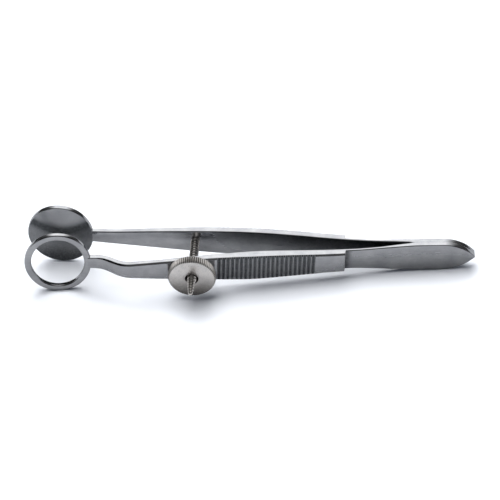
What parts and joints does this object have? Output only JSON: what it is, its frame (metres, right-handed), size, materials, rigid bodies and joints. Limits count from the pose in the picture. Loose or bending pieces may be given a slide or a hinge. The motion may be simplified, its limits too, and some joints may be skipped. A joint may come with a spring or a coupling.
{
  "type": "chalazion forceps",
  "caption": "Eyelid clamp forceps: an open oval ring and a solid oval plate on two spring arms welded at a pointed butt, closed by a knurled thumb nut on a cross screw.",
  "frame": {"origin": "middle of the open jaws, halfway between the inner faces of the ring and the plate", "axes": "+X from the jaws to the butt, +Y from the ring arm to the plate arm, +Z across the width of the arms"},
  "size_m": [0.1022, 0.0203, 0.017],
  "materials": {
    "arm_steel": "satin, brushed along the arms, with polished edges",
    "screw_steel": "bright turned, threaded",
    "nut_steel": "fine turned face, bright knurl"
  },
  "bodies": {
    "spring_end": {"ring_arm_tail": "arm_steel", "plate_arm_tail": "arm_steel"},
    "ring_side": {"ring_arm": "arm_steel"},
    "plate_side": {"plate_arm": "arm_steel", "screw": "screw_steel"},
    "nut_core": {"nut_bush": "nut_steel"},
    "nut_wheel": {"thumb_wheel": "nut_steel"}
  },
  "joints": [
    {"name": "ring_arm_flex", "type": "hinge", "parent": "spring_end", "child": "ring_side", "pos_m": [0.073, -0.00122, 0], "axis": [0, 0, -1], "range_deg": [0, 3.27]},
    {"name": "plate_arm_flex", "type": "hinge", "parent": "spring_end", "child": "plate_side", "pos_m": [0.073, 0.00115, 0], "axis": [0, 0, 1], "range_deg": [0, 3.27]},
    {"name": "nut_travel", "type": "slide", "parent": "plate_side", "child": "nut_core", "axis": [0.0334, 0.9994, 0], "range_m": [0, 0.00492]},
    {"name": "nut_turn", "type": "hinge", "parent": "nut_core", "child": "nut_wheel", "pos_m": [0.03061, -0.00686, 0], "axis": [0.0334, 0.9994, 0], "range_deg": [0, 2216.2]}
  ],
  "couplings": [
    {"joint": "plate_arm_flex", "follows": "ring_arm_flex", "ratio": 1},
    {"joint": "nut_travel", "follows": "ring_arm_flex", "m_per_rad": 0.086284},
    {"joint": "nut_turn", "follows": "ring_arm_flex", "ratio": 677.67}
  ]
}
